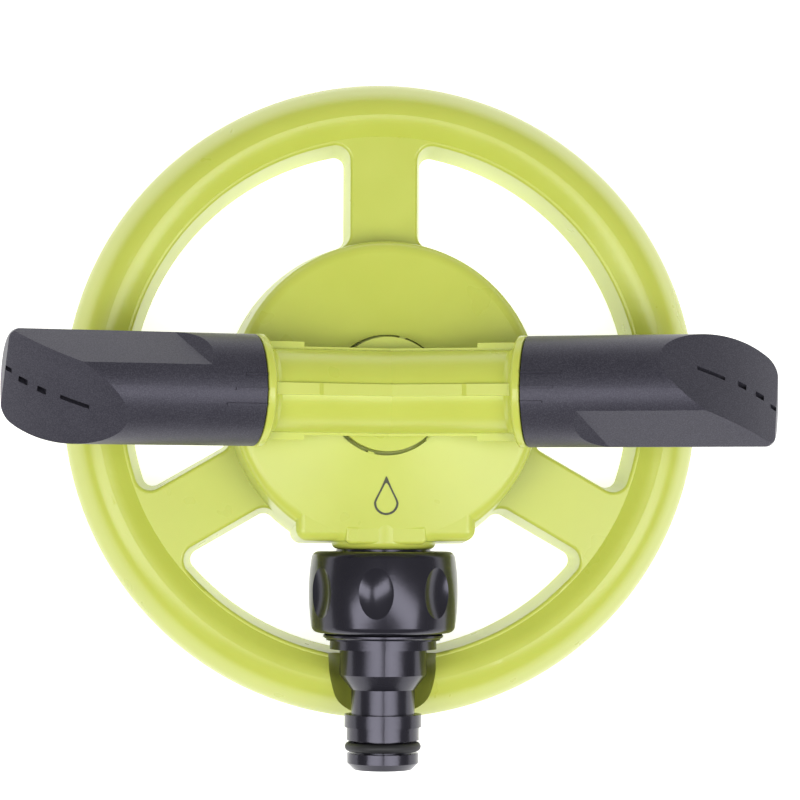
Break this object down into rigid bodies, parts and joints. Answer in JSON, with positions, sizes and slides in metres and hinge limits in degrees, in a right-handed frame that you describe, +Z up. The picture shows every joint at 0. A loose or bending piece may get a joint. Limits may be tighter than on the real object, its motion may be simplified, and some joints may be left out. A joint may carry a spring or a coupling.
{
  "type": "rotary lawn sprinkler",
  "caption": "Lawn sprinkler with a spinning two-arm head and slanted spray nozzles on a spoked ring base with a quick-connect hose tail.",
  "frame": {"origin": "centre of the ring base on the ground, on the rotor's spin axis", "axes": "+Z up along the rotor's spin axis, the hose tail points to -Y, the arms lie along +X and -X at rest"},
  "size_m": [0.1584, 0.15, 0.0694],
  "materials": {
    "lime_gloss": "glossy lime green moulding",
    "grey_satin": "fine-grained dark grey moulding",
    "black_gloss": "glossy black moulding",
    "black_satin": "satin black moulding",
    "acetal_white": "natural acetal",
    "rubber_black": "nitrile rubber",
    "stainless": "spring stainless"
  },
  "bodies": {
    "base": {"base_moulding": "lime_gloss", "bearing_bush": "acetal_white", "spindle_seal": "rubber_black", "chamber_plug": "black_satin", "plug_o_ring": "rubber_black", "inlet_stub": "black_gloss", "stub_o_ring": "rubber_black"},
    "rotor": {"rotor_head": "lime_gloss", "rotor_spindle": "acetal_white", "upper_thrust_washer": "acetal_white", "lower_thrust_washer": "acetal_white", "retaining_clip": "stainless", "nozzle_seal_left": "rubber_black", "nozzle_seal_right": "rubber_black"},
    "nozzle_left": {"nozzle_left": "grey_satin"},
    "nozzle_right": {"nozzle_right": "grey_satin"},
    "coupling": {"coupling_nut": "black_gloss", "hose_washer": "rubber_black", "inlet_filter": "black_satin", "tail_adaptor": "black_gloss", "tail_o_ring": "rubber_black"}
  },
  "joints": [
    {"name": "rotor_spin", "type": "hinge", "parent": "base", "child": "rotor", "pos_m": [0, 0, 0.042], "axis": [0, 0, 1], "continuous": true},
    {"name": "nozzle_left_turn", "type": "hinge", "parent": "rotor", "child": "nozzle_left", "pos_m": [0, 0, 0.042], "axis": [-0.9659, 0, 0.2588], "range_deg": [-15, 15]},
    {"name": "nozzle_right_turn", "type": "hinge", "parent": "rotor", "child": "nozzle_right", "pos_m": [0, 0, 0.042], "axis": [0.9659, 0, 0.2588], "range_deg": [-15, 15]},
    {"name": "coupling_spin", "type": "hinge", "parent": "base", "child": "coupling", "pos_m": [0, -0.045, 0.0176], "axis": [0, -1, 0], "continuous": true}
  ]
}
